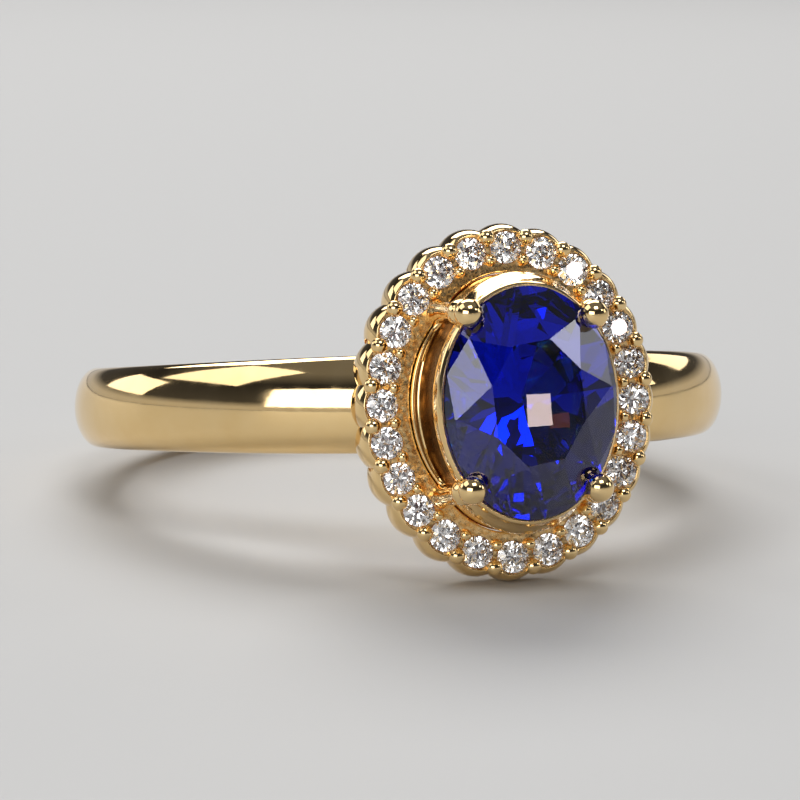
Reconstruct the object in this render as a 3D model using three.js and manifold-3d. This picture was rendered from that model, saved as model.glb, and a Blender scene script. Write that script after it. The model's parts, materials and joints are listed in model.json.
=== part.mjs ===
// An 18 ct yellow gold engagement ring lying on its side: a plain domed shank, a raised four-claw
// basket with an oval sapphire, and an oval halo plate bead-set with round brilliants.
// Millimetres, +Z up. The ring rests on its halo rim and on the back of the shank.
// The finger's axis is close to vertical and the head faces -Y, tipped a little upwards.

import * as THREE from 'three';
import { ConvexGeometry } from 'three/addons/geometries/ConvexGeometry.js';
import { mergeVertices } from 'three/addons/utils/BufferGeometryUtils.js';
import Module from 'manifold-3d';

const wasm = await Module();
wasm.setup();

// Driving dimensions, millimetres

// shank
const fingerRadius = 8.45;
const shankThickness = 1.85;
const shankBackWidth = 2.5;
const shankHeadWidth = 2.9;
const shankDomeRise = 0.75;
const shankInnerBevel = 0.15;
const shankStations = 48;
const shankDomeSteps = 6;

// saddle on the shank's crown: long and narrow at its root, oval at its top
const saddleTop = { long: 2.05, short: 1.85, level: 10.4 };
const saddleRoot = { long: 1.35, short: 3.6, level: 9.3 };
const saddleSides = 28;
const saddleLevels = 3;

// lower gallery rail, an oval wire that stands on the saddle
const railLong = 1.74;
const railShort = 1.5;
const railWireRadius = 0.3;
const railSides = 8;
const railStations = 24;

// halo plate; levels are measured from the ring's centre along the head's axis
const haloLevel = 12.51;
const haloThickness = 1.1;
const stoneCount = 24;
const stoneLineLong = 4.36;
const stoneLineShort = 3.69;
const stepsPerStone = 4;
const scallopRise = 0.18;
// the rim's convex wall, outwards from the line of stones and down from the plate's face
const rimFoot = { offset: 0.6, drop: haloThickness };
const rimBelly = { offset: 0.71, drop: 0.7 };
const rimShoulder = { offset: 0.68, drop: 0.32 };
const rimBrow = { offset: 0.6, drop: 0.1 };
const rimEdge = { offset: 0.5, drop: 0 };

// round brilliants and their seats
const diamondRadius = 0.45;
const diamondCut = {
  table: 0.56, star: 0.78, lower: 0.24, crown: 0.14, pavilion: 0.37, girdle: 0.03, turn: 0,
};
const seatHoleRadius = 0.2;
const seatSides = 12;
const seatConeDepth = 0.26;
const seatLedgeDepth = 0.035;
const seatHeadroom = 0.3;

// beads raised from the plate between neighbouring brilliants
const outerBead = { offset: 0.32, radius: 0.24 };
const innerBead = { offset: -0.31, radius: 0.175 };
const beadLift = 0.05;

// centre stone; its facets are turned from the long axis by the angle of its cut
const sapphireLong = 3.22;
const sapphireShort = 2.47;
const girdleLevel = 14.63;
const sapphireCut = {
  table: 0.56, star: 0.92, lower: 0.3, crown: 0.72, pavilion: 2.3, girdle: 0.1, turn: 15,
};
const sapphireClearance = 1.01;

// collar: the polished wall between the halo's opening and the centre stone, by offset from the
// stone's girdle. Its side panels are hollowed between a foot rail and an upper rail; its end panels
// stand straight and end in a broad bevel
const collarFoot = 0.42;
const collarWall = 0.28;
const collarFace = 0.12;
const collarPinch = 0.5;
const collarPinchPower = 0.8;
const collarHollowStart = 0.6;
const collarHollowFull = 0.8;
const collarBottom = 11.9;
const collarTop = 14.5;
const collarFootTop = 12.6;
const collarHollow = [[0.29, 12.64], [0.02, 13.1], [-0.01, 13.6], [0.17, 13.98]];
const collarBevel = [[0.42, 13.0], [0.43, 13.68], [0.36, 13.88], [0.25, 14.1]];
const collarUpperRail = [0.16, 14.3];
const collarLip = [0.07, collarTop];
const collarInnerTop = 14.3;
const collarInnerBottom = 12.4;
const collarThroat = 0.08;
const collarStations = 48;

// claws: wires that start in the lower rail, pass the halo's inner edge and end in balls
const clawTip = { short: 1.82, long: 2.4, level: 14.93 };
const clawWaist = { short: 1.99, long: 2.53, level: 12.3 };
const clawRoot = { short: 1.15, long: 1.36, level: 10.85 };
const clawWireRadius = 0.27;
const clawBallRadius = 0.4;
const clawSides = 8;
const clawSteps = 7;

// air between pieces that the goldsmith would solder or set hard together
const fitGap = 0.02;

// Derived

const shankOuterRadius = fingerRadius + shankThickness;
const shankShoulderRadius = shankOuterRadius - shankDomeRise;
const haloStations = stoneCount * stepsPerStone;
const restTilt = Math.atan2(
  stoneLineLong + rimBelly.offset - shankBackWidth / 2,
  haloLevel - rimBelly.drop + shankShoulderRadius,
);

// Materials

const gold = (name, roughness) => {
  const material = new THREE.MeshStandardMaterial({ color: 0xd9b45c, metalness: 1, roughness });
  material.name = name;
  return material;
};
const polishedGold = gold('polished_gold', 0.12);
const haloGold = gold('bead_cut_gold', 0.28);
const sapphireBlue = new THREE.MeshStandardMaterial({ color: 0x0a1fae, metalness: 0, roughness: 0.03 });
sapphireBlue.name = 'sapphire';
const diamondClear = new THREE.MeshStandardMaterial({ color: 0xe9ecf2, metalness: 0, roughness: 0.02 });
diamondClear.name = 'diamond';

// Shape helpers

// a closed ring skinned over loops of points; loops run anticlockwise about +Z,
// and each loop runs anticlockwise when it is seen with its outward side on the right
function sweepRing(loops) {
  const count = loops[0].length;
  const positions = loops.flat().flatMap((point) => [point.x, point.y, point.z]);
  const index = [];
  for (let i = 0; i < loops.length; i += 1) {
    const next = (i + 1) % loops.length;
    for (let j = 0; j < count; j += 1) {
      const turn = (j + 1) % count;
      const a = i * count + j;
      const b = next * count + j;
      const c = next * count + turn;
      const d = i * count + turn;
      index.push(a, b, c, a, c, d);
    }
  }
  const geometry = new THREE.BufferGeometry();
  geometry.setAttribute('position', new THREE.Float32BufferAttribute(positions, 3));
  geometry.setIndex(index);
  return geometry;
}

// one loop per angle, from profile points that each give an oval's half axes and a level
function ovalRing(angles, profileAt) {
  return sweepRing(angles.map((angle, station) => profileAt(station).map(
    ([long, short, level]) => new THREE.Vector3(short * Math.cos(angle), long * Math.sin(angle), level),
  )));
}

function evenAngles(long, short, count) {
  const oval = new THREE.EllipseCurve(0, 0, short, long);
  oval.arcLengthDivisions = 2000;
  return Array.from({ length: count }, (_, k) => 2 * Math.PI * oval.getUtoTmapping(k / count));
}

function toSolid(geometry) {
  const bare = geometry.clone();
  bare.deleteAttribute('normal');
  bare.deleteAttribute('uv');
  const merged = mergeVertices(bare, 1e-5);
  return new wasm.Manifold(new wasm.Mesh({
    numProp: 3,
    vertProperties: new Float32Array(merged.attributes.position.array),
    triVerts: new Uint32Array(merged.index.array),
  }));
}

function toGeometry(solid) {
  const mesh = solid.getMesh();
  const geometry = new THREE.BufferGeometry();
  geometry.setAttribute('position', new THREE.BufferAttribute(mesh.vertProperties, mesh.numProp));
  geometry.setIndex(new THREE.BufferAttribute(mesh.triVerts, 1));
  geometry.computeVertexNormals();
  return geometry;
}

function addMesh(group, name, geometry, material) {
  const mesh = new THREE.Mesh(geometry, material);
  mesh.name = name;
  group.add(mesh);
  return mesh;
}

// Gem cutting

// an eight-main brilliant about +Z with its girdle at level 0; half axes let a round become an oval,
// and every kite stays flat because its side corners are put on the plane of its two other corners
function brilliantCut(long, short, { table, star, lower, crown, pavilion, girdle, turn }) {
  const half = girdle / 2;
  const mainAngle = Math.PI / 4;
  const starReach = star * Math.cos(mainAngle / 2);
  const starLevel = half + crown * (1 - (starReach - table) / (1 - table));
  const lowerLevel = -half - pavilion * (1 - lower * Math.cos(mainAngle / 2));
  const at = (radius, angle, level) => new THREE.Vector3(
    short * radius * Math.sin(angle),
    long * radius * Math.cos(angle),
    level,
  );
  const points = [new THREE.Vector3(0, 0, -half - pavilion)];
  for (let k = 0; k < 8; k += 1) {
    const main = k * mainAngle + THREE.MathUtils.degToRad(turn);
    const between = main + mainAngle / 2;
    points.push(at(table, main, half + crown));
    points.push(at(star, between, starLevel));
    points.push(at(lower, between, lowerLevel));
    for (const angle of [main, between]) {
      points.push(at(1, angle, half));
      points.push(at(1, angle, -half));
    }
  }
  return new ConvexGeometry(points);
}

// Shank

// D section: flat inside with bevelled edges, flat sides and a domed outside
function shankLoop(angle) {
  const towardsHead = Math.max(0, Math.cos(angle));
  const width = shankBackWidth + (shankHeadWidth - shankBackWidth) * towardsHead ** 2;
  const side = width / 2;
  const profile = [
    [fingerRadius, side - shankInnerBevel],
    [fingerRadius, shankInnerBevel - side],
    [fingerRadius + shankInnerBevel, -side],
  ];
  for (let k = 0; k <= shankDomeSteps; k += 1) {
    const turn = -Math.PI / 2 + (Math.PI * k) / shankDomeSteps;
    profile.push([shankShoulderRadius + shankDomeRise * Math.cos(turn), side * Math.sin(turn)]);
  }
  profile.push([fingerRadius + shankInnerBevel, side]);
  return profile.map(([radius, height]) => new THREE.Vector3(
    radius * Math.sin(angle),
    -radius * Math.cos(angle),
    height,
  ));
}

// the saddle's plan changes from a long lozenge of the shank to the oval that the lower rail needs
function saddleSolid() {
  const saddle = new THREE.CylinderGeometry(1, 1, 1, saddleSides, saddleLevels);
  saddle.rotateX(Math.PI / 2);
  const spots = saddle.attributes.position;
  for (let k = 0; k < spots.count; k += 1) {
    const rise = spots.getZ(k) + 0.5;
    const narrowing = 1 - (1 - rise) ** 2;
    spots.setXYZ(
      k,
      spots.getX(k) * THREE.MathUtils.lerp(saddleRoot.short, saddleTop.short, narrowing),
      spots.getY(k) * THREE.MathUtils.lerp(saddleRoot.long, saddleTop.long, rise ** 2),
      THREE.MathUtils.lerp(saddleRoot.level, saddleTop.level, rise),
    );
  }
  saddle.rotateX(Math.PI / 2);
  return toSolid(saddle);
}

function shankGeometry() {
  const angles = Array.from({ length: shankStations }, (_, k) => (2 * Math.PI * k) / shankStations);
  return toGeometry(toSolid(sweepRing(angles.map(shankLoop))).add(saddleSolid()));
}

// Lower gallery rail

function railGeometry() {
  const level = saddleTop.level + fitGap + railWireRadius;
  const angles = evenAngles(railLong, railShort, railStations);
  return ovalRing(angles, () => Array.from({ length: railSides }, (_, k) => {
    const turn = (2 * Math.PI * (k + 0.5)) / railSides;
    const reach = railWireRadius * Math.cos(turn);
    return [railLong + reach, railShort + reach, level + railWireRadius * Math.sin(turn)];
  }));
}

// Claws

const clawPoint = (spot, sideX, sideY) => new THREE.Vector3(
  sideX * spot.short,
  sideY * spot.long,
  spot.level,
);

function clawWire(radius, sideX, sideY) {
  const path = new THREE.CatmullRomCurve3([
    clawPoint(clawRoot, sideX, sideY),
    clawPoint(clawWaist, sideX, sideY),
    clawPoint(clawTip, sideX, sideY),
  ]);
  const section = new THREE.Shape();
  for (let k = 0; k < clawSides; k += 1) {
    const turn = (2 * Math.PI * k) / clawSides;
    const go = k === 0 ? 'moveTo' : 'lineTo';
    section[go](radius * Math.cos(turn), radius * Math.sin(turn));
  }
  section.closePath();
  return toSolid(new THREE.ExtrudeGeometry(section, { steps: clawSteps, extrudePath: path }));
}

function clawSolid(sideX, sideY, keepOut) {
  const ball = new THREE.SphereGeometry(clawBallRadius, 12, 9);
  const tip = clawPoint(clawTip, sideX, sideY);
  ball.translate(tip.x, tip.y, tip.z);
  return toSolid(ball).add(clawWire(clawWireRadius, sideX, sideY)).subtract(keepOut);
}

// Collar

// what lies outside the wall's own face is drawn in towards the claws, so each panel ends in points
function pinched(angle, offset) {
  const lobe = 1 - collarPinch * (1 - Math.abs(Math.cos(2 * angle)) ** collarPinchPower);
  return offset > collarFace ? collarFace + (offset - collarFace) * lobe : offset;
}

function collarProfile(angle) {
  const hollow = THREE.MathUtils.smoothstep(Math.abs(Math.cos(angle)), collarHollowStart, collarHollowFull);
  const panel = collarHollow.map(([offset, level], k) => [
    THREE.MathUtils.lerp(collarBevel[k][0], offset, hollow),
    THREE.MathUtils.lerp(collarBevel[k][1], level, hollow),
  ]);
  return [
    [collarFoot, collarBottom],
    [collarFoot, collarFootTop],
    ...panel,
    collarUpperRail,
    collarLip,
    [-fitGap, collarTop],
    [-collarWall, collarInnerTop],
    [-collarWall, collarInnerBottom],
    [collarThroat, collarBottom],
  ];
}

function collarSolid() {
  const angles = evenAngles(sapphireLong, sapphireShort, collarStations);
  return toSolid(ovalRing(angles, (station) => collarProfile(angles[station]).map(([reach, level]) => {
    const offset = pinched(angles[station], reach);
    return [sapphireLong + offset, sapphireShort + offset, level];
  })));
}

// Halo plate

const stoneAngles = evenAngles(stoneLineLong, stoneLineShort, haloStations);

const stonePoint = (station, offset, level) => new THREE.Vector3(
  (stoneLineShort + offset) * Math.cos(stoneAngles[station]),
  (stoneLineLong + offset) * Math.sin(stoneAngles[station]),
  level,
);

// plate with a scalloped rim: every brilliant has its own convex petal
function haloProfile(station) {
  const fromStone = Math.abs(((station + stepsPerStone / 2) % stepsPerStone) - stepsPerStone / 2);
  const dip = scallopRise * (fromStone / (stepsPerStone / 2)) ** 2;
  const opening = pinched(stoneAngles[station], collarFoot) + fitGap;
  const rim = [rimFoot, rimBelly, rimShoulder, rimBrow, rimEdge].map(({ offset, drop }) => [
    stoneLineLong + offset - dip,
    stoneLineShort + offset - dip,
    haloLevel - drop,
  ]);
  return [
    [sapphireLong + opening, sapphireShort + opening, haloLevel - haloThickness],
    ...rim,
    [sapphireLong + opening, sapphireShort + opening, haloLevel],
  ];
}

// room for one brilliant: its crown and pavilion with clearance, open below to let light through
function seatCutter() {
  const reach = diamondRadius + fitGap * 1.2;
  const profile = [
    [0, -haloThickness - seatHeadroom],
    [seatHoleRadius, -haloThickness - seatHeadroom],
    [seatHoleRadius, -seatConeDepth],
    [reach, -seatLedgeDepth],
    [reach, seatHeadroom],
    [0, seatHeadroom],
  ].map(([radius, level]) => new THREE.Vector2(radius, level));
  const cutter = new THREE.LatheGeometry(profile, seatSides);
  cutter.rotateX(Math.PI / 2);
  return toSolid(cutter);
}

function haloSolid(clawCutters) {
  const beads = [];
  const seats = [];
  const seat = seatCutter();
  for (let k = 0; k < stoneCount; k += 1) {
    seats.push(seat.translate(stonePoint(k * stepsPerStone, 0, haloLevel).toArray()));
    for (const bead of [outerBead, innerBead]) {
      const ball = new THREE.SphereGeometry(bead.radius, 7, 4);
      const spot = stonePoint(k * stepsPerStone + stepsPerStone / 2, bead.offset, haloLevel + beadLift);
      ball.rotateX(Math.PI / 2);
      ball.translate(spot.x, spot.y, spot.z);
      beads.push(toSolid(ball));
    }
  }
  const plate = toSolid(ovalRing(stoneAngles, haloProfile));
  return wasm.Manifold.union([plate, ...beads]).subtract(wasm.Manifold.union([...seats, ...clawCutters]));
}

// Assembly

const ring = new THREE.Group();
ring.rotation.x = -restTilt;

addMesh(ring, 'shank', shankGeometry(), polishedGold);

// in the head group +Z points away from the finger and +Y lies along the finger's axis
const head = new THREE.Group();
head.rotation.x = Math.PI / 2;
ring.add(head);

const rail = toSolid(railGeometry());
const sapphire = brilliantCut(sapphireLong, sapphireShort, sapphireCut);
const sapphireRoom = sapphire.clone();
sapphireRoom.scale(sapphireClearance, sapphireClearance, sapphireClearance);
sapphireRoom.translate(0, 0, girdleLevel);
const sapphireKeepOut = toSolid(sapphireRoom);

const corners = [
  ['claw_upper_left', -1, 1],
  ['claw_upper_right', 1, 1],
  ['claw_lower_right', 1, -1],
  ['claw_lower_left', -1, -1],
];
const clawCutters = corners.map(([, sideX, sideY]) => clawWire(clawWireRadius + fitGap, sideX, sideY));
const allClawRoom = wasm.Manifold.union(clawCutters);

addMesh(head, 'lower_rail', toGeometry(rail.subtract(allClawRoom)), polishedGold);
addMesh(head, 'halo_plate', toGeometry(haloSolid(clawCutters)), haloGold);
const collar = collarSolid().subtract(allClawRoom).subtract(sapphireKeepOut);
addMesh(head, 'collar', toGeometry(collar), polishedGold);
for (const [name, sideX, sideY] of corners) {
  addMesh(head, name, toGeometry(clawSolid(sideX, sideY, sapphireKeepOut)), polishedGold);
}

const centreStone = addMesh(head, 'sapphire', sapphire, sapphireBlue);
centreStone.position.z = girdleLevel;

for (let k = 0; k < stoneCount; k += 1) {
  const name = `diamond_${String(k + 1).padStart(2, '0')}`;
  const stone = brilliantCut(diamondRadius, diamondRadius, diamondCut);
  const diamond = addMesh(head, name, stone, diamondClear);
  diamond.position.copy(stonePoint(k * stepsPerStone, 0, haloLevel));
  diamond.rotation.z = stoneAngles[k * stepsPerStone];
}

// stand the ring on z = 0 with the middle of its box over the origin
const part = new THREE.Group();
part.add(ring);
part.updateMatrixWorld(true);
const box = new THREE.Box3().setFromObject(part, true);
const middle = box.getCenter(new THREE.Vector3());
ring.position.set(-middle.x, -middle.y, -box.min.z);

export default part;
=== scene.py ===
import json
import math
import random

import bmesh
import bpy
import numpy as np
from mathutils import Matrix, Vector, noise


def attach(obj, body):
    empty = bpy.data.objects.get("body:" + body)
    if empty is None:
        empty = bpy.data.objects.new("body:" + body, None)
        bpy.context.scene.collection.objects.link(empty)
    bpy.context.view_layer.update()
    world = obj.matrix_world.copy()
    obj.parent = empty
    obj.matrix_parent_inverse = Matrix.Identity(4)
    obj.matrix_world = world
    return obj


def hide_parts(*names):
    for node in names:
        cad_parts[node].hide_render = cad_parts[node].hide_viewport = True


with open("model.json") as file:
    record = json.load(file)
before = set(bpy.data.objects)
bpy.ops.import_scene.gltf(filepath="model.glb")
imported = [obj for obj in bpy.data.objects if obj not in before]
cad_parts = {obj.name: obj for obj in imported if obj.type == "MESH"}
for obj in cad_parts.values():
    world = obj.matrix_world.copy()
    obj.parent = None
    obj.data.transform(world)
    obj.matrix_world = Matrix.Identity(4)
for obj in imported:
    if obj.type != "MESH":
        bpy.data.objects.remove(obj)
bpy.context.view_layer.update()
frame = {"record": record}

mm = 0.001

# where the ring lies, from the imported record

mounts = {mount["name"]: mount for mount in frame["record"]["mounts"]}
ringCentre = Vector(mounts["finger_hole"]["pos_m"])
fingerAxis = Vector(mounts["finger_hole"]["axis"])
ringTilt = math.atan2(fingerAxis.y, fingerAxis.z)
ringPlace = Matrix.Translation(ringCentre) @ Matrix.Rotation(-ringTilt, 4, "X") @ Matrix.Scale(mm, 4)
headPlace = ringPlace @ Matrix.Rotation(math.pi / 2, 4, "X")  # x across, y along the finger, z outwards


# small tools

def srgbToLinear(code):
    parts = [int(code[i:i + 2], 16) / 255 for i in (1, 3, 5)]
    return tuple(p / 12.92 if p <= 0.04045 else ((p + 0.055) / 1.055) ** 2.4 for p in parts) + (1.0,)


def addNode(tree, kind, links=(), **settings):
    # settings named in0, in1 ... or in_Name go to sockets, the rest to the node; links are (socket, source)
    node = tree.nodes.new(kind)
    for key, value in settings.items():
        if key.startswith("in_"):
            node.inputs[key[3:].replace("_", " ")].default_value = value
        elif key.startswith("in") and key[2:].isdigit():
            node.inputs[int(key[2:])].default_value = value
        else:
            setattr(node, key, value)
    for socket, source in links:
        tree.links.new(source, node.inputs[socket])
    return node


def newMaterial(name):
    material = bpy.data.materials.new(name)
    material.use_nodes = True
    material.node_tree.nodes.clear()
    return material, material.node_tree


def meshObject(name, verts, faces, materials=(), smooth=True):
    mesh = bpy.data.meshes.new(name)
    mesh.from_pydata([tuple(v) for v in verts], [], [tuple(f) for f in faces])
    mesh.validate()
    obj = bpy.data.objects.new(name, mesh)
    bpy.context.scene.collection.objects.link(obj)
    for material in materials:
        mesh.materials.append(material)
    mesh.polygons.foreach_set("use_smooth", [smooth] * len(mesh.polygons))
    return obj


def ringSkin(loops):
    # loops (stations, points, 3) closed both ways -> verts, quads facing out
    stations, count, _ = loops.shape
    index = np.arange(stations * count).reshape(stations, count)
    over = np.roll(index, -1, 0)
    quads = np.stack([index, over, np.roll(over, -1, 1), np.roll(index, -1, 1)], -1)
    return loops.reshape(-1, 3), quads.reshape(-1, 4)


def evenAngles(long, short, count):
    # parameters of points at equal steps along an ellipse
    t = np.linspace(0, 2 * np.pi, 7201)
    x, y = short * np.cos(t), long * np.sin(t)
    run = np.concatenate([[0], np.cumsum(np.hypot(np.diff(x), np.diff(y)))])
    return np.interp(np.arange(count) / count * run[-1], run, t)


def smoothLine(points, steps):
    # Catmull-Rom line through the points, open
    p = np.array(points, float)
    p = np.vstack([2 * p[0] - p[1], p, 2 * p[-1] - p[-2]])
    out = []
    for a, b, c, d in zip(p, p[1:], p[2:], p[3:]):
        square, cube = 2 * a - 5 * b + 4 * c - d, 3 * b - a - 3 * c + d
        for k in range(steps):
            s = k / steps
            out.append(0.5 * (2 * b + (c - a) * s + square * s * s + cube * s ** 3))
    out.append(p[-2])
    return np.array(out)


def boolean(target, cutter, operation):
    modifier = target.modifiers.new("join", "BOOLEAN")
    modifier.operation = operation
    modifier.solver = "MANIFOLD"
    modifier.object = cutter
    applyModifiers(target)
    bpy.data.objects.remove(cutter)


def applyModifiers(obj):
    graph = bpy.context.evaluated_depsgraph_get()
    mesh = bpy.data.meshes.new_from_object(obj.evaluated_get(graph), depsgraph=graph)
    obj.modifiers.clear()
    old = obj.data
    obj.data = mesh
    mesh.name = obj.name
    bpy.data.meshes.remove(old)


def finishPiece(obj, node, place, sharpAngle=None):
    obj.data.transform(place)
    if sharpAngle is not None:
        obj.data.polygons.foreach_set("use_smooth", [True] * len(obj.data.polygons))
        obj.data.set_sharp_from_angle(angle=math.radians(sharpAngle))
    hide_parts(node)
    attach(obj, "root")
    return obj


# materials

# every bump is (strength, depth in mm)
polishedGold = {
    "high": "#FBDDA6",  # 18 ct yellow gold where the wheel has run clean
    "low": "#F2CE8E",
    "waveMm": 0.9,  # long soft waves that buffing leaves
    "waveBump": (0.05, 0.05),
    "waveSpan": (0.35, 0.75),  # share of the noise that the roughness is spread over
    "hairMm": 0.035,  # hairlines, drawn coarser than the real 5 micron ones so that they show
    "hairBump": (0.06, 0.004),
    "hairStretch": (0.12, 0.12, 1.0),  # they run around the band
    "rough": (0.045, 0.13),
}
cutGold = {
    "high": "#FFE0A8",
    "low": "#F0BC74",  # painted reflection: deeper orange where the cuts mirror each other
    "cutMm": 0.17,  # graver cuts
    "cutBump": (0.5, 0.035),
    "grainMm": 0.05,  # skin left by the investment mould
    "grainBump": (0.25, 0.006),
    "grainSpan": (0.3, 0.7),
    "rough": (0.16, 0.42),
}
# colours of the painted shade in the collar's hollow, standing in for the dark surroundings it mirrors
paintedShadeGold = {
    "high": "#A2733C",  # painted shade, at its lightest where it thins out
    "low": "#593A1B",  # painted shade at its darkest, in the hollow beside the centre stone
    "streakMm": 0.45,
    "streakSpan": (0.3, 0.7),
    "shadeEdge": (0.4, 0.75),  # share of the noise over which the painted shade thins out
    "rough": (0.3, 0.12),
}
sapphireBody = {"tint": "#46C1F8", "density": 1600.0, "ior": 1.77, "polishMm": 0.7, "lapBump": (0.3, 0.0004)}
diamondBody = {"ior": 2.417, "polishMm": 0.15, "lapBump": (0.3, 0.0004)}


def noiseOf(tree, vector, sizeMm, detail, roughness=0.5):
    node = addNode(tree, "ShaderNodeTexNoise", [("Vector", vector)],
                   in_Scale=1 / (sizeMm * mm), in_Detail=detail, in_Roughness=roughness)
    return node.outputs["Fac"]


def spread(tree, source, fromRange, toRange):
    node = addNode(tree, "ShaderNodeMapRange", [("Value", source)], in_From_Min=fromRange[0],
                   in_From_Max=fromRange[1], in_To_Min=toRange[0], in_To_Max=toRange[1])
    return node.outputs[0]


def blend(tree, source, first, second):
    node = addNode(tree, "ShaderNodeMix", [(0, source)], data_type="RGBA",
                   in6=srgbToLinear(first), in7=srgbToLinear(second))
    return node.outputs[2]


def bumpOf(tree, height, size, under=()):
    # under holds the (socket, source) link of a bump beneath this one
    node = addNode(tree, "ShaderNodeBump", [("Height", height), *under],
                   in_Strength=size[0], in_Distance=size[1] * mm)
    return node.outputs[0]


def metal(tree, links):
    shader = addNode(tree, "ShaderNodeBsdfPrincipled", links, in_Metallic=1.0)
    addNode(tree, "ShaderNodeOutputMaterial", [("Surface", shader.outputs[0])])


def buffedGold():
    # 18 ct yellow gold, cast and buffed: a near mirror with soft waves and faint hairlines
    size = polishedGold
    material, tree = newMaterial("buffed_yellow_gold")
    place = addNode(tree, "ShaderNodeTexCoord").outputs["Object"]
    stretched = addNode(tree, "ShaderNodeMapping", [("Vector", place)],
                        in_Scale=size["hairStretch"], in_Rotation=(-ringTilt, 0.0, 0.0))
    wave = noiseOf(tree, place, size["waveMm"], 3.0, 0.55)
    hairs = noiseOf(tree, stretched.outputs[0], size["hairMm"], 2.0, 0.7)
    colour = blend(tree, wave, size["low"], size["high"])
    rough = spread(tree, wave, size["waveSpan"], size["rough"])
    soft = bumpOf(tree, wave, size["waveBump"])
    fine = bumpOf(tree, hairs, size["hairBump"], [("Normal", soft)])
    metal(tree, [("Base Color", colour), ("Roughness", rough), ("Normal", fine)])
    return material


def gravedGold():
    # the same gold between the stones: graver cuts and mould skin, so it glitters in small orange flakes;
    # the deeper orange at the cut edges is painted reflection
    size = cutGold
    material, tree = newMaterial("graver_cut_yellow_gold")
    place = addNode(tree, "ShaderNodeTexCoord").outputs["Object"]
    cuts = addNode(tree, "ShaderNodeTexVoronoi", [("Vector", place)],
                   in_Scale=1 / (size["cutMm"] * mm), feature="F1").outputs["Distance"]
    grain = noiseOf(tree, place, size["grainMm"], 3.0, 0.6)
    colour = blend(tree, cuts, size["high"], size["low"])
    rough = spread(tree, grain, size["grainSpan"], size["rough"])
    coarse = bumpOf(tree, cuts, size["cutBump"])
    fine = bumpOf(tree, grain, size["grainBump"], [("Normal", coarse)])
    metal(tree, [("Base Color", colour), ("Roughness", rough), ("Normal", fine)])
    return material


def paintedShadeMaterial():
    # gold darkened with painted shade: the dark reflection of the surroundings is painted into the colour,
    # so the hollow reads as a dark crescent
    size = paintedShadeGold
    material, tree = newMaterial("gold_with_painted_shade")
    place = addNode(tree, "ShaderNodeTexCoord").outputs["Object"]
    streaks = noiseOf(tree, place, size["streakMm"], 4.0)
    darkening = spread(tree, streaks, size["shadeEdge"], (0.0, 1.0))
    colour = blend(tree, darkening, size["low"], size["high"])
    rough = spread(tree, streaks, size["streakSpan"], size["rough"])
    metal(tree, [("Base Color", colour), ("Roughness", rough)])
    return material


def gemMaterial(name, size):
    # clear crystal with a mirror polish; faint lap lines bend what the flats mirror from patch to patch
    material, tree = newMaterial(name)
    place = addNode(tree, "ShaderNodeTexCoord").outputs["Object"]
    flat = bumpOf(tree, noiseOf(tree, place, size["polishMm"], 2.0), size["lapBump"])
    shader = addNode(tree, "ShaderNodeBsdfPrincipled", [("Normal", flat)], in_Roughness=0.0,
                     in_Transmission_Weight=1.0, in_IOR=size["ior"], in_Base_Color=(1.0, 1.0, 1.0, 1.0))
    output = addNode(tree, "ShaderNodeOutputMaterial", [("Surface", shader.outputs[0])])
    if "density" in size:
        body = addNode(tree, "ShaderNodeVolumeAbsorption", in_Color=srgbToLinear(size["tint"]),
                       in_Density=size["density"])
        tree.links.new(body.outputs[0], output.inputs["Volume"])
    return material


goldBuffed = buffedGold()
goldCut = gravedGold()
# dark gold whose colour is painted shade, for the collar's hollow
goldPaintedShade = paintedShadeMaterial()
sapphireCrystal = gemMaterial("polished_blue_sapphire", sapphireBody)
diamondCrystal = gemMaterial("polished_diamond", diamondBody)
print("materials made")


# shank: D section, flat inside, domed outside, with the saddle on its crown

shank = {
    "insideRadius": 8.45,
    "thickness": 1.85,
    "backWidth": 2.5,
    "headWidth": 2.9,
    "domeRise": 0.75,
    "innerRound": 0.22,
    "stations": 288,
    "domeSteps": 30,
}
saddle = {"topLong": 2.05, "topShort": 1.85, "topLevel": 10.4,
          "rootLong": 1.35, "rootShort": 3.6, "rootLevel": 9.3}


def shankSection(width):
    side = width / 2
    r0, e = shank["insideRadius"], shank["innerRound"]
    shoulder = r0 + shank["thickness"] - shank["domeRise"]
    quarter = np.linspace(0, math.pi / 2, 7)
    points = [(r0, z) for z in np.linspace(side - e, e - side, 9)]
    points += [(r0 + e - e * math.cos(a), -side + e - e * math.sin(a)) for a in quarter[1:]]
    points += [(r, -side) for r in np.linspace(r0 + e, shoulder, 5)[1:-1]]
    points += [(shoulder + shank["domeRise"] * math.cos(a), side * math.sin(a))
               for a in np.linspace(-math.pi / 2, math.pi / 2, shank["domeSteps"] + 1)]
    points += [(r, side) for r in np.linspace(shoulder, r0 + e, 5)[1:-1]]
    points += [(r0 + e - e * math.cos(a), side - e + e * math.sin(a)) for a in quarter[:0:-1]]
    return np.array(points)


def makeShank():
    loops = []
    for angle in np.linspace(0, 2 * math.pi, shank["stations"], endpoint=False):
        towardsHead = max(0.0, math.cos(angle))
        widening = (shank["headWidth"] - shank["backWidth"]) * towardsHead ** 2
        section = shankSection(shank["backWidth"] + widening)
        r, z = section[:, 0], section[:, 1]
        loops.append(np.stack([r * math.sin(angle), -r * math.cos(angle), z], -1))
    band = meshObject("shank_band", *ringSkin(np.array(loops)), [goldBuffed])
    saddleBlank = makeSaddle()
    saddleBlank.data.transform(Matrix.Rotation(math.pi / 2, 4, "X"))
    boolean(band, saddleBlank, "UNION")
    return finishPiece(band, "shank", ringPlace, sharpAngle=32)


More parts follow.
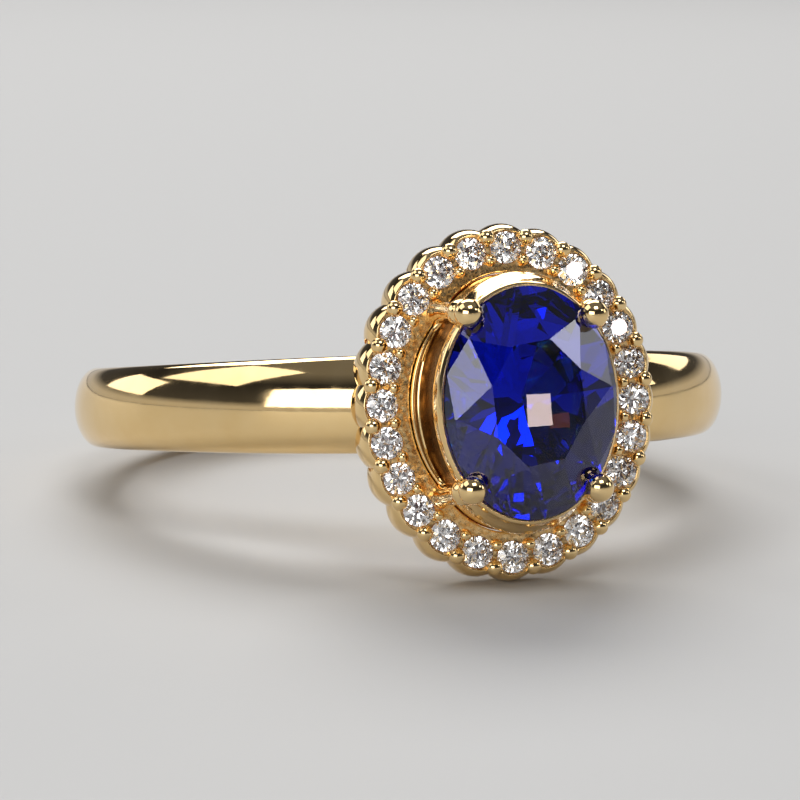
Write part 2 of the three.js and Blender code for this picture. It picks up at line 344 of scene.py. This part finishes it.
def makeSaddle():
    around, levels = 96, 14
    verts, faces = [], []
    for i in range(levels + 1):
        rise = i / levels
        narrowing = 1 - (1 - rise) ** 2
        short = saddle["rootShort"] + (saddle["topShort"] - saddle["rootShort"]) * narrowing
        long = saddle["rootLong"] + (saddle["topLong"] - saddle["rootLong"]) * rise ** 2
        level = saddle["rootLevel"] + (saddle["topLevel"] - saddle["rootLevel"]) * rise
        for k in range(around):
            turn = 2 * math.pi * k / around
            verts.append((short * math.cos(turn), long * math.sin(turn), level))
    for i in range(levels):
        for k in range(around):
            a, b = i * around + k, i * around + (k + 1) % around
            faces.append((a, b, b + around, a + around))
    faces.append(tuple(reversed(range(around))))
    faces.append(tuple(range(levels * around, (levels + 1) * around)))
    return meshObject("saddle_blank", verts, faces, [goldBuffed])


# lower gallery rail

rail = {"long": 1.74, "short": 1.5, "wireRadius": 0.3, "level": 10.72}


def makeRail():
    angles = evenAngles(rail["long"], rail["short"], 96)
    turns = np.linspace(0, 2 * math.pi, 24, endpoint=False)
    reach, rise = rail["wireRadius"] * np.cos(turns), rail["wireRadius"] * np.sin(turns)
    loops = [np.stack([(rail["short"] + reach) * math.cos(t), (rail["long"] + reach) * math.sin(t),
                       rail["level"] + rise], -1) for t in angles]
    ring = meshObject("lower_rail_wire", *ringSkin(np.array(loops)), [goldBuffed])
    return finishPiece(ring, "lower_rail", headPlace, sharpAngle=60)


# collar: foot rail, hollow scoop and upper rail, pinched in where the claws pass

sapphire = {"long": 3.22, "short": 2.47, "level": 14.63, "crown": 0.72, "pavilion": 2.3, "girdle": 0.1,
            "table": 0.56, "star": 0.92, "lower": 0.3, "turn": 15,
            "segments": 160, "wobble": 0.008, "seed": 7}  # girdle's corners, and how untrue each flat is
collar = {
    "foot": 0.42, "face": 0.12, "stations": 240,
    "pinch": 0.5, "pinchPower": 0.8,  # the foot draws in where the claws pass
    "hollowFrom": 0.6, "hollowFull": 0.8,  # along the short axis, as shares of it
    "paintedShadePoints": range(16, 33),  # points of the profile that lie in the hollow, which get the painted shade
}
# (offset from the stone's edge, level)
collarFoot = [(0.42, 11.9), (0.42, 12.3), (0.42, 12.5)]
collarHollow = [(0.42, 12.6), (0.4, 12.66), (0.3, 12.66), (0.22, 12.6), (0.08, 12.8), (0.0, 13.2),
                (-0.01, 13.6), (0.05, 13.85), (0.16, 13.95), (0.18, 14.15), (0.15, 14.38)]
collarBevel = [(0.42, 12.6), (0.42, 13.0), (0.43, 13.4), (0.44, 13.64), (0.42, 13.73), (0.38, 13.82),
               (0.34, 13.91), (0.29, 14.01), (0.24, 14.12), (0.19, 14.24), (0.14, 14.38)]
collarLip = [(0.11, 14.46), (0.06, 14.5), (-0.02, 14.5)]
collarInside = [(-0.28, 14.3), (-0.28, 13.4), (-0.28, 12.4), (0.08, 11.9)]


def lobe(angle):
    # 1 in the middle of each panel, falling to 1 - pinch at the claws
    return 1 - collar["pinch"] * (1 - abs(math.cos(2 * angle)) ** collar["pinchPower"])


def footOffset(angle, outward):
    # offsets beyond the wall's own face are drawn in towards the claws
    face = collar["face"]
    return face + (outward - face) * lobe(angle) if outward > face else outward


def makeCollar():
    hollow, bevel = smoothLine(collarHollow, 4), smoothLine(collarBevel, 4)
    loops, shares = [], []
    for t in evenAngles(sapphire["long"], sapphire["short"], collar["stations"]):
        share = (abs(math.cos(t)) - collar["hollowFrom"]) / (collar["hollowFull"] - collar["hollowFrom"])
        share = min(1.0, max(0.0, share))  # hollow at the sides, plain bevel at the ends
        share = share * share * (3 - 2 * share)
        shares.append(share)
        profile = np.vstack([collarFoot, hollow * share + bevel * (1 - share), collarLip, collarInside])
        offset = np.array([footOffset(t, outward) for outward in profile[:, 0]])
        loops.append(np.stack([(sapphire["short"] + offset) * math.cos(t),
                               (sapphire["long"] + offset) * math.sin(t), profile[:, 1]], -1))
    wall = meshObject("collar_wall", *ringSkin(np.array(loops)), [goldBuffed, goldPaintedShade])
    count = len(profile)
    # the hollow's faces at the sides get the gold with painted shade
    for polygon in wall.data.polygons:
        if polygon.index % count in collar["paintedShadePoints"] and shares[polygon.index // count] > 0.5:
            polygon.material_index = 1
    return finishPiece(wall, "collar", headPlace, sharpAngle=38)


# claws

claw = {
    "root": (1.15, 1.36, 10.85), "waist": (1.99, 2.53, 12.3), "tip": (1.82, 2.40, 14.93),
    "wireRadius": 0.27, "ballRadius": 0.4,
    "footRadius": 0.36, "footLevel": 12.62, "footReach": 0.28,  # the fillet where the wire leaves the plate
    "barrelRadius": 0.4, "barrelDrop": 0.55, "barrelReach": 0.32,  # the thicker part under the ball
}
clawShift = {"claw_upper_left": (0, 0.09), "claw_upper_right": (-0.04, 0), "claw_lower_right": (0, 0.01),
             "claw_lower_left": (0, 0.06)}  # each ball's own shift, mm across and along


def makeClaw(node, sideX, sideY):
    spots = [np.array(claw[key]) * (sideX, sideY, 1) for key in ("root", "waist", "tip")]
    spots[-1] = spots[-1] + (*clawShift[node], 0)
    line = smoothLine(spots, 40)
    run = np.concatenate([[0], np.cumsum(np.linalg.norm(np.diff(line, axis=0), axis=1))])
    end = run[-1]
    ball, wire = claw["ballRadius"], claw["wireRadius"]
    footAt = run[np.argmin(abs(line[:, 2] - claw["footLevel"]))]
    stops = np.concatenate([np.linspace(0.002, end - ball * 1.3, 60),
                            end + ball * np.sin(np.linspace(-1.45, 1.5705, 26))])
    direction = (line[-1] - line[-2]) / np.linalg.norm(line[-1] - line[-2])
    verts, faces = [], []
    around = 28
    for stop in stops:
        inside = min(stop, end)
        centre = np.array([np.interp(inside, run, line[:, axis]) for axis in range(3)])
        centre = centre + direction * max(0.0, stop - end)
        ahead = np.array([np.interp(min(inside + 0.02, end), run, line[:, axis]) for axis in range(3)])
        behind = np.array([np.interp(max(inside - 0.02, 0), run, line[:, axis]) for axis in range(3)])
        along = Vector(ahead - behind).normalized()
        across = along.cross(Vector((0, 1, 0))).normalized()
        other = across.cross(along)
        foot = (claw["footRadius"] - wire) * math.exp(-((stop - footAt) / claw["footReach"]) ** 2)
        dome = math.sqrt(max(0.0, ball ** 2 - (stop - end) ** 2))
        below = stop - end + claw["barrelDrop"]
        barrel = (claw["barrelRadius"] - wire) * math.exp(-(below / claw["barrelReach"]) ** 2)
        radius = max(wire + foot + barrel, dome) if stop < end else max(dome, 0.004)
        for k in range(around):
            turn = 2 * math.pi * k / around
            verts.append(Vector(centre) + radius * (math.cos(turn) * other + math.sin(turn) * across))
    for i in range(len(stops) - 1):
        for k in range(around):
            a, b = i * around + k, i * around + (k + 1) % around
            faces.append((a, b, b + around, a + around))
    faces.append(tuple(reversed(range(around))))
    faces.append(tuple(range((len(stops) - 1) * around, len(stops) * around)))
    wireMesh = meshObject(node + "_wire", verts, faces, [goldBuffed])
    faceOut(wireMesh)
    return finishPiece(wireMesh, node, headPlace, sharpAngle=60)


def faceOut(obj):
    bm = bmesh.new()
    bm.from_mesh(obj.data)
    bmesh.ops.recalc_face_normals(bm, faces=bm.faces)
    bm.to_mesh(obj.data)
    bm.free()


# halo plate: scalloped rim, beads and seats

halo = {
    "level": 12.51, "thickness": 1.1, "long": 4.36, "short": 3.69, "stones": 24, "stepsPerStone": 20,
    "scallop": 0.18, "gap": 0.02, "topSteps": 18, "cutDepth": 0.03,
    "outerBead": (0.32, 0.24), "innerBead": (-0.31, 0.175), "beadLift": 0.05,
    "seatRadius": 0.468, "holeRadius": 0.2,
}
# (offset from the line of stones, level from the plate's face), from the underside up to the crest
haloRim = [(0.58, -1.1), (0.65, -1.05), (0.695, -0.9), (0.71, -0.7), (0.705, -0.5), (0.68, -0.32),
           (0.635, -0.17), (0.58, -0.07), (0.54, -0.02), (0.51, 0.0), (0.48, -0.02)]
haloAngles = evenAngles(halo["long"], halo["short"], halo["stones"] * halo["stepsPerStone"])


def stoneSpot(index, offset, level):
    # index counts stones, and may be a half for the place between two
    t = haloAngles[int(round(index * halo["stepsPerStone"])) % len(haloAngles)]
    return Vector(((halo["short"] + offset) * math.cos(t), (halo["long"] + offset) * math.sin(t), level))


def makeHalo():
    rim = smoothLine(haloRim, 3)
    topSteps = halo["topSteps"]
    loops = []
    for station, t in enumerate(haloAngles):
        u = ((station / halo["stepsPerStone"] + 0.5) % 1.0 - 0.5) * 2
        dip = halo["scallop"] * u * u
        inner = footOffset(t, collar["foot"]) + halo["gap"]
        openLong, openShort = sapphire["long"] + inner, sapphire["short"] + inner
        points = [(openLong, openShort, -halo["thickness"])]
        points += [(halo["long"] + offset - dip, halo["short"] + offset - dip, drop)
                   for offset, drop in rim]
        edgeLong, edgeShort, edgeDrop = points[-1]
        runLong, runShort = openLong + 0.05 - edgeLong, openShort + 0.05 - edgeShort
        # the face, with shallow graver dents, then the rolled edge of the opening
        for k in range(1, topSteps + 1):
            s = k / topSteps
            across = Vector((edgeShort * math.cos(t), edgeLong * math.sin(t), s * 9 / 7))
            drop = edgeDrop + halo["cutDepth"] * noise.noise(across * 7) * math.sin(math.pi * s)
            points.append((edgeLong + runLong * s, edgeShort + runShort * s, drop))
        points += [(openLong + 0.035, openShort + 0.035, 0.015), (openLong + 0.01, openShort + 0.01, 0.0),
                   (openLong, openShort, -0.06)]
        loops.append([(short * math.cos(t), long * math.sin(t), halo["level"] + drop)
                      for long, short, drop in points])
    verts, quads = ringSkin(np.array(loops))
    plate = meshObject("halo_plate_cast", verts, quads, [goldBuffed, goldCut])
    count = len(loops[0])
    first = len(rim)
    for polygon in plate.data.polygons:
        if first <= polygon.index % count < first + topSteps:
            polygon.material_index = 1
    boolean(plate, makeBeads(), "UNION")
    boolean(plate, makeSeats(), "DIFFERENCE")
    return finishPiece(plate, "halo_plate", headPlace, sharpAngle=40)


def makeBeads():
    bm = bmesh.new()
    for stone in range(halo["stones"]):
        for offset, radius in (halo["outerBead"], halo["innerBead"]):
            spot = stoneSpot(stone + 0.5, offset, halo["level"] + halo["beadLift"])
            bmesh.ops.create_uvsphere(bm, u_segments=24, v_segments=16, radius=radius,
                                      matrix=Matrix.Translation(spot))
    return bmeshObject("bead_blanks", bm, [goldBuffed, goldCut])


def makeSeats():
    # a drill from behind, a cone under the stone's pavilion and a burr for its girdle
    hole, reach, under = halo["holeRadius"], halo["seatRadius"], -halo["thickness"] - 0.2
    profile = [(0.0, under), (hole, under), (hole, -0.26), (reach, -0.033), (reach, 0.041),
               (0.27, 0.3), (0.0, 0.3)]
    turns = [0.07 + 2 * math.pi * k / 32 for k in range(32)]
    bm = bmesh.new()
    for stone in range(halo["stones"]):
        centre = stoneSpot(stone, 0, halo["level"])
        rings = []
        for radius, level in profile:
            if radius == 0:
                rings.append([bm.verts.new(centre + Vector((0, 0, level)))] * len(turns))
                continue
            spots = [Vector((radius * math.cos(turn), radius * math.sin(turn), level)) for turn in turns]
            rings.append([bm.verts.new(centre + spot) for spot in spots])
        for low, high in zip(rings, rings[1:]):
            for k in range(len(turns)):
                face = bm.faces.new(list(dict.fromkeys([low[k - 1], low[k], high[k], high[k - 1]])))
                face.material_index = 1
    return bmeshObject("seat_cutters", bm, [goldBuffed, goldCut])


def bmeshObject(name, bm, materials):
    mesh = bpy.data.meshes.new(name)
    bmesh.ops.recalc_face_normals(bm, faces=bm.faces)
    bm.to_mesh(mesh)
    bm.free()
    for material in materials:
        mesh.materials.append(material)
    obj = bpy.data.objects.new(name, mesh)
    bpy.context.scene.collection.objects.link(obj)
    return obj


# viewpoint, and the window that the flat tops of the stones mirror

camera = {"azimuth": -14.753, "elevation": 10.524, "roll": 1.18, "distanceMm": 100.84,
          "lens": 141.8, "sensor": 36, "shift": (0.0024, -0.0004)}
windowMm = 420  # how far the window stands from the ring
windows = [  # name, mm across and along the table facet where it is seen, width, height, colour, watts
    ("window_pane", -0.01, -0.19, 3.9, 5.2, "#FFE6E0", 0.0005),
    ("window_sill", 0.56, -0.5, 3.2, 2.4, "#8A4A30", 0.00007),
]


def bearing(azimuth, elevation):
    a, e = math.radians(azimuth), math.radians(elevation)
    return Vector((math.sin(a) * math.cos(e), -math.cos(a) * math.cos(e), math.sin(e)))


eyePlace = ringCentre + bearing(camera["azimuth"], camera["elevation"]) * camera["distanceMm"] * mm


def windowPlace(across, along):
    # where a lamp must stand to be mirrored at this spot of the centre stone's table
    tableLevel = sapphire["level"] + sapphire["girdle"] / 2 + sapphire["crown"]
    spot = headPlace @ Vector((across, along, tableLevel))
    facing = (headPlace.to_3x3() @ Vector((0, 0, 1))).normalized()
    view = (eyePlace - spot).normalized()
    return spot + (2 * view.dot(facing) * facing - view) * windowMm * mm


# gem cutting

def cutGem(cut, seed):
    # a round blank of radius 1 is ground flat by flat, then drawn out to its oval
    dice = random.Random(seed)
    segments, wobble = cut["segments"], cut["wobble"]
    half = cut["girdle"] / 2
    step = math.pi / 4
    table, star, lower = cut["table"], cut["star"], cut["lower"]
    starLevel = half + cut["crown"] * (1 - (star * math.cos(step / 2) - table) / (1 - table))
    lowerLevel = -half - cut["pavilion"] * (1 - lower * math.cos(step / 2))

    def at(radius, angle, level):
        return Vector((radius * math.sin(angle), radius * math.cos(angle), level))

    def grind(a, b, c):
        normal = (b - a).cross(c - a).normalized()
        if normal.dot(a - Vector((0, 0, -0.2 * cut["pavilion"]))) < 0:
            normal.negate()
        tilt = Vector([dice.uniform(-wobble, wobble) for _ in range(3)])
        return grindFlat(faces, a, (normal + tilt).normalized())

    tall = cut["crown"] + cut["pavilion"]
    low, high = [[at(1, -2 * math.pi * k / segments, level) for k in range(segments)]
                 for level in (-tall, tall)]
    faces = [low[::-1], high] + [[low[k - 1], low[k], high[k], high[k - 1]] for k in range(segments)]
    top = half + cut["crown"]
    faces = grindFlat(faces, Vector((0, 0, top)), Vector((0, 0, 1)))
    for k in range(8):
        main = k * step + math.radians(cut["turn"])
        between, before = main + step / 2, main - step / 2
        corner, nextCorner = at(table, main, top), at(table, main + step, top)
        faces = grind(corner, at(star, between, starLevel), at(1, main, half))
        faces = grind(at(star, between, starLevel), corner, nextCorner)
        for side in (main, main + step):
            faces = grind(at(1, side, half), at(1, between, half), at(star, between, starLevel))
            faces = grind(at(1, side, -half), at(1, between, -half), at(lower, between, lowerLevel))
        faces = grind(at(1, main, -half), at(lower, between, lowerLevel), at(lower, before, lowerLevel))
    bm = bmesh.new()
    for face in faces:
        bm.faces.new([bm.verts.new(corner) for corner in face])
    bmesh.ops.remove_doubles(bm, verts=bm.verts, dist=2e-4)
    bmesh.ops.scale(bm, vec=(cut["short"], cut["long"], 1), verts=bm.verts)
    mesh = bpy.data.meshes.new("gem")
    bm.to_mesh(mesh)
    bm.free()
    return mesh


def grindFlat(faces, point, normal):
    # faces of a convex stone as lists of corners; what stands above the flat goes, and the flat is added
    kept, rim = [], []
    for face in faces:
        heights = [(corner - point).dot(normal) for corner in face]
        trimmed = []
        for k, corner in enumerate(face):
            after, here, there = face[(k + 1) % len(face)], heights[k], heights[(k + 1) % len(face)]
            if here <= 0:
                trimmed.append(corner)
            if here * there < 0:
                crossing = corner.lerp(after, here / (here - there))
                trimmed.append(crossing)
                rim.append(crossing)
        if len(trimmed) > 2:
            kept.append(trimmed)
    if len(rim) > 2:
        centre = sum(rim, Vector()) / len(rim)
        side = normal.orthogonal().normalized()
        up = normal.cross(side)
        rim.sort(key=lambda spot: math.atan2((spot - centre).dot(up), (spot - centre).dot(side)))
        kept.append(rim)
    return kept


def placeGem(name, mesh, material):
    mesh.name = name
    mesh.materials.append(material)
    gem = bpy.data.objects.new(name, mesh)
    bpy.context.scene.collection.objects.link(gem)
    return gem


def makeSapphire():
    place = headPlace @ Matrix.Translation((0, 0, sapphire["level"]))
    stone = placeGem("sapphire_oval", cutGem(sapphire, sapphire["seed"]), sapphireCrystal)
    return finishPiece(stone, "sapphire", place)


diamond = {"long": 0.45, "short": 0.45, "crown": 0.14, "pavilion": 0.37, "girdle": 0.03,
           "table": 0.56, "star": 0.78, "lower": 0.24, "turn": 0,
           "segments": 48, "wobble": 0.01, "seed": 100, "seatTilt": 2.5,
           "flashing": ("diamond_03", "diamond_05")}  # two that lean far enough to flash white


def leanToWindow(spot):
    # turns a stone's table so that the eye sees the window pane in it
    seat = headPlace @ spot
    pane = windowPlace(*windows[0][1:3])
    middle = (eyePlace - seat).normalized() + (pane - seat).normalized()
    facing = headPlace.to_3x3().inverted() @ middle
    return Vector((0, 0, 1)).rotation_difference(facing.normalized()).to_matrix().to_4x4()


def makeDiamonds():
    dice = random.Random(24)
    for k in range(halo["stones"]):
        node = f"diamond_{k + 1:02d}"
        turn = Matrix.Rotation(dice.uniform(0, math.pi / 4), 4, "Z")
        lean = Matrix.Rotation(math.radians(dice.uniform(-1, 1) * diamond["seatTilt"]), 4, "X")
        lean = lean @ Matrix.Rotation(math.radians(dice.uniform(-1, 1) * diamond["seatTilt"]), 4, "Y")
        spot = stoneSpot(k, 0, halo["level"])
        if node in diamond["flashing"]:
            lean = leanToWindow(spot)
        place = headPlace @ Matrix.Translation(spot) @ lean @ turn
        stone = placeGem(node + "_round", cutGem(diamond, diamond["seed"] + k), diamondCrystal)
        finishPiece(stone, node, place)


makeShank()
print("shank made")
makeRail()
makeCollar()
for clawNode, sideX, sideY in (("claw_upper_left", -1, 1), ("claw_upper_right", 1, 1),
                               ("claw_lower_right", 1, -1), ("claw_lower_left", -1, -1)):
    makeClaw(clawNode, sideX, sideY)
print("basket made")
makeHalo()
print("halo made")
makeSapphire()
makeDiamonds()
print("stones set")


# floor, lights and camera

stage = {"floor": "#C4C3C1", "rough": 0.6, "floorMm": 4000, "grainMm": 1.2, "grainBump": (0.15, 0.05)}


def makeFloor():
    half = stage["floorMm"] * mm / 2
    corners = [(-half, -half, 0), (half, -half, 0), (half, half, 0), (-half, half, 0)]
    floor = meshObject("studio_floor", corners, [(0, 1, 2, 3)])
    material, tree = newMaterial("matt_pale_board")
    place = addNode(tree, "ShaderNodeTexCoord").outputs["Object"]
    bump = bumpOf(tree, noiseOf(tree, place, stage["grainMm"], 4.0), stage["grainBump"])
    shader = addNode(tree, "ShaderNodeBsdfPrincipled", [("Normal", bump)],
                     in_Base_Color=srgbToLinear(stage["floor"]), in_Roughness=stage["rough"])
    addNode(tree, "ShaderNodeOutputMaterial", [("Surface", shader.outputs[0])])
    floor.data.materials.append(material)


softboxes = [  # name, azimuth, elevation, distance mm, width mm, height mm, watts
    ("front_left_softbox", -40, 16.5, 420, 320, 170, 0.55),
    ("left_diffuser", -104, 45, 420, 320, 220, 0.34),
    ("left_back_diffuser", -132, 17, 420, 220, 130, 0.16),
    ("front_top_softbox", 5, 60, 420, 180, 140, 0.48),
    ("right_softbox", 80, 19, 420, 130, 130, 0.09),
    ("right_panel", 55, 32, 420, 70, 60, 0.06),
    ("right_back_diffuser", 125, 22, 420, 200, 120, 0.12),
    ("back_softbox", 172, 46, 450, 360, 240, 1.35),
]


def addLight(name, place, target, width, height, power, colour="#FFFFFF"):
    lamp = bpy.data.lights.new(name, "AREA")
    lamp.shape = "RECTANGLE"
    lamp.size, lamp.size_y = width * mm, height * mm
    lamp.energy = power
    lamp.color = srgbToLinear(colour)[:3]
    box = bpy.data.objects.new(name, lamp)
    box.location = place
    box.rotation_euler = (place - target).to_track_quat("Z", "Y").to_euler()
    bpy.context.scene.collection.objects.link(box)


def makeLights():
    for name, azimuth, elevation, distance, width, height, power in softboxes:
        place = ringCentre + bearing(azimuth, elevation) * distance * mm
        addLight(name, place, ringCentre, width, height, power)
    table = headPlace @ Vector((0, 0, sapphire["level"] + sapphire["crown"]))
    for name, across, along, width, height, colour, power in windows:
        addLight(name, windowPlace(across, along), table, width, height, power, colour)


studio = {
    "ramp": ((0.06, "#E6E6E8"), (0.16, "#56575C"), (0.55, "#34353A"), (0.8, "#8E8F94")),  # height, colour
    "strength": 0.6,
}


def makeWorld():
    world = bpy.data.worlds.new("studio")
    bpy.context.scene.world = world
    world.use_nodes = True
    tree = world.node_tree
    tree.nodes.clear()
    place = addNode(tree, "ShaderNodeTexCoord")
    split = addNode(tree, "ShaderNodeSeparateXYZ", [("Vector", place.outputs["Generated"])])
    ramp = addNode(tree, "ShaderNodeValToRGB", [("Fac", split.outputs["Z"])])
    stops = ramp.color_ramp.elements
    (stops[0].position, first), (stops[1].position, second) = studio["ramp"][:2]
    stops[0].color, stops[1].color = srgbToLinear(first), srgbToLinear(second)
    for position, colour in studio["ramp"][2:]:
        stops.new(position).color = srgbToLinear(colour)
    sky = addNode(tree, "ShaderNodeBackground", [("Color", ramp.outputs[0])],
                  in_Strength=studio["strength"])
    addNode(tree, "ShaderNodeOutputWorld", [("Surface", sky.outputs[0])])


def makeCamera():
    back = bearing(camera["azimuth"], camera["elevation"])
    lens = bpy.data.cameras.new("camera")
    lens.lens = camera["lens"]
    lens.sensor_width = camera["sensor"]
    lens.clip_start, lens.clip_end = 0.005, 20
    lens.shift_x, lens.shift_y = camera["shift"]
    eye = bpy.data.objects.new("camera", lens)
    eye.rotation_mode = "QUATERNION"
    eye.location = eyePlace
    aim = (-back).to_track_quat("-Z", "Y")
    eye.rotation_quaternion = aim @ Matrix.Rotation(math.radians(camera["roll"]), 3, "Z").to_quaternion()
    bpy.context.scene.collection.objects.link(eye)
    bpy.context.scene.camera = eye


makeFloor()
makeLights()
makeWorld()
makeCamera()
scene = bpy.context.scene
scene.view_settings.view_transform = "Standard"
scene.cycles.max_bounces = 24  # light takes many turns inside the stones before it leaves
scene.cycles.transmission_bounces = 24
scene.cycles.glossy_bounces = 16
print("stage made")
